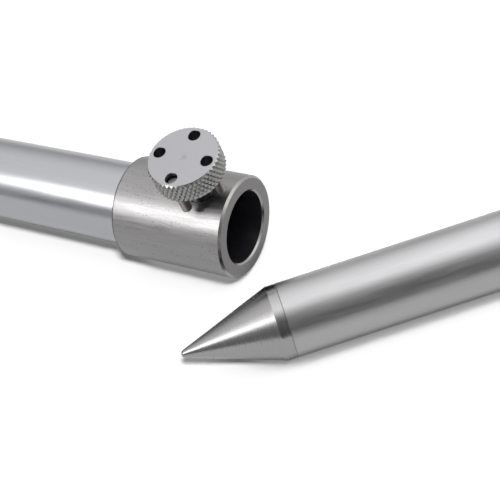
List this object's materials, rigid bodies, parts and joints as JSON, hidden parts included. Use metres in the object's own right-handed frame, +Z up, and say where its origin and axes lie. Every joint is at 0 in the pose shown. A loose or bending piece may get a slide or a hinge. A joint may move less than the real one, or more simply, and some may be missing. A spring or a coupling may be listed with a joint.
{
  "type": "bank stick",
  "caption": "Telescopic bank stick taken apart: tube with a knurled thumbscrew collar, and a slimmer tube with a cone point that slides into its bore.",
  "frame": {"origin": "where the thumbscrew's axis meets the axis of the collar's bore", "axes": "+X out of the collar's mouth, +Z up from the surface that both sections lie on"},
  "size_m": [0.5186, 0.2025, 0.0357],
  "materials": {
    "polished_aluminium": "polished, clear anodised",
    "satin_aluminium": "satin, brushed along its length",
    "brushed_steel": "brushed along its length",
    "turned_steel": "turned, fine lathe lines",
    "pin_steel": "drawn wire, warm grey",
    "nylon": "natural nylon",
    "black_nylon": "moulded black"
  },
  "bodies": {
    "outer_section": {"outer_tube": "polished_aluminium", "collar": "brushed_steel", "top_fitting": "brushed_steel"},
    "screw_tip": {"nylon_tip": "nylon"},
    "lock_screw": {"thumbscrew": "turned_steel", "head_pin_1": "pin_steel", "head_pin_2": "pin_steel", "head_pin_3": "pin_steel", "head_pin_4": "pin_steel"},
    "section_guide": {"end_bung": "black_nylon"},
    "pointed_section": {"inner_tube": "satin_aluminium", "point": "turned_steel"}
  },
  "joints": [
    {"name": "screw_travel", "type": "slide", "parent": "outer_section", "child": "screw_tip", "axis": [0, -0.1564, 0.9877], "range_m": [-0.00053, 0.0015]},
    {"name": "thumbscrew_turn", "type": "hinge", "parent": "screw_tip", "child": "lock_screw", "pos_m": [0, 0, 0], "axis": [0, -0.1564, 0.9877], "range_deg": [-190, 540]},
    {"name": "section_swing", "type": "hinge", "parent": "outer_section", "child": "section_guide", "pos_m": [0.15952, 0.04002, 0], "axis": [-0.016, 0.0444, 0.9989], "range_deg": [0, 140.44]},
    {"name": "telescope", "type": "slide", "parent": "section_guide", "child": "pointed_section", "axis": [0.7705, 0.6374, 0], "range_m": [0, 0.257]}
  ],
  "couplings": [
    {"joint": "screw_travel", "follows": "thumbscrew_turn", "m_per_rad": 0.00015915}
  ]
}
